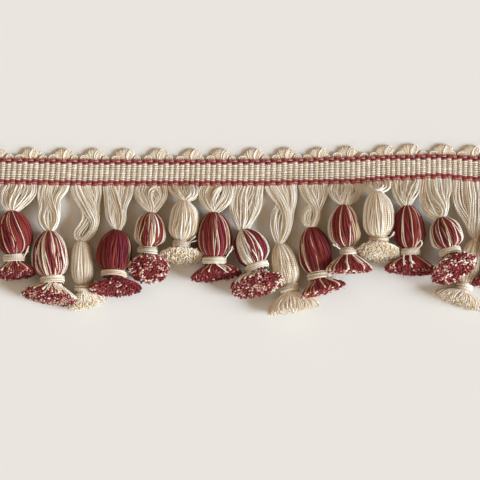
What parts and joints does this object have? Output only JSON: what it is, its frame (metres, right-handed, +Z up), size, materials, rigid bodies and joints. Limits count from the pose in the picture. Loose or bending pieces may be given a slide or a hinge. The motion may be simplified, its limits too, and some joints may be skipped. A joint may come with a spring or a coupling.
{
  "type": "onion tassel fringe length",
  "caption": "Straight cut length of furnishing fringe: a ribbed woven heading with picot loops on one edge and yarn skirts on the other, each ending in a bound onion tassel with a flared brush.",
  "frame": {"origin": "middle of the heading's flat back, on the surface that the length lies on", "axes": "+X along the heading, +Y from the tassels to the picot edge, +Z up from the surface, out of the heading's face"},
  "size_m": [0.2623, 0.0817, 0.0161],
  "materials": {
    "heading_weave": "ribbed weave, cream warps with wine borders",
    "picot_yarn": "cream plied yarn, low sheen",
    "skirt_yarn": "cream plied yarn, low sheen",
    "cream_yarn": "cream plied yarn, low sheen",
    "wine_yarn": "wine red plied yarn with a few cream strands",
    "mixed_yarn": "wine red and cream plied yarns in stripes",
    "binding_thread": "cream thread in close turns"
  },
  "bodies": {
    "root": {"heading": "heading_weave", "picots": "picot_yarn", "skirt_00": "skirt_yarn", "tassel_00": "cream_yarn", "binding_00": "binding_thread", "skirt_01": "skirt_yarn", "tassel_01": "wine_yarn", "binding_01": "binding_thread", "skirt_02": "skirt_yarn", "tassel_02": "mixed_yarn", "binding_02": "binding_thread", "skirt_03": "skirt_yarn", "tassel_03": "cream_yarn", "binding_03": "binding_thread", "skirt_04": "skirt_yarn", "tassel_04": "wine_yarn", "binding_04": "binding_thread", "skirt_05": "skirt_yarn", "tassel_05": "mixed_yarn", "binding_05": "binding_thread", "skirt_06": "skirt_yarn", "tassel_06": "cream_yarn", "binding_06": "binding_thread", "skirt_07": "skirt_yarn", "tassel_07": "wine_yarn", "binding_07": "binding_thread", "skirt_08": "skirt_yarn", "tassel_08": "mixed_yarn", "binding_08": "binding_thread", "skirt_09": "skirt_yarn", "tassel_09": "cream_yarn", "binding_09": "binding_thread", "skirt_10": "skirt_yarn", "tassel_10": "wine_yarn", "binding_10": "binding_thread", "skirt_11": "skirt_yarn", "tassel_11": "wine_yarn", "binding_11": "binding_thread", "skirt_12": "skirt_yarn", "tassel_12": "cream_yarn", "binding_12": "binding_thread", "skirt_13": "skirt_yarn", "tassel_13": "wine_yarn", "binding_13": "binding_thread", "skirt_14": "skirt_yarn", "tassel_14": "wine_yarn", "binding_14": "binding_thread", "skirt_15": "skirt_yarn", "tassel_15": "cream_yarn", "binding_15": "binding_thread", "skirt_16": "skirt_yarn", "tassel_16": "wine_yarn", "binding_16": "binding_thread"}
  },
  "joints": []
}
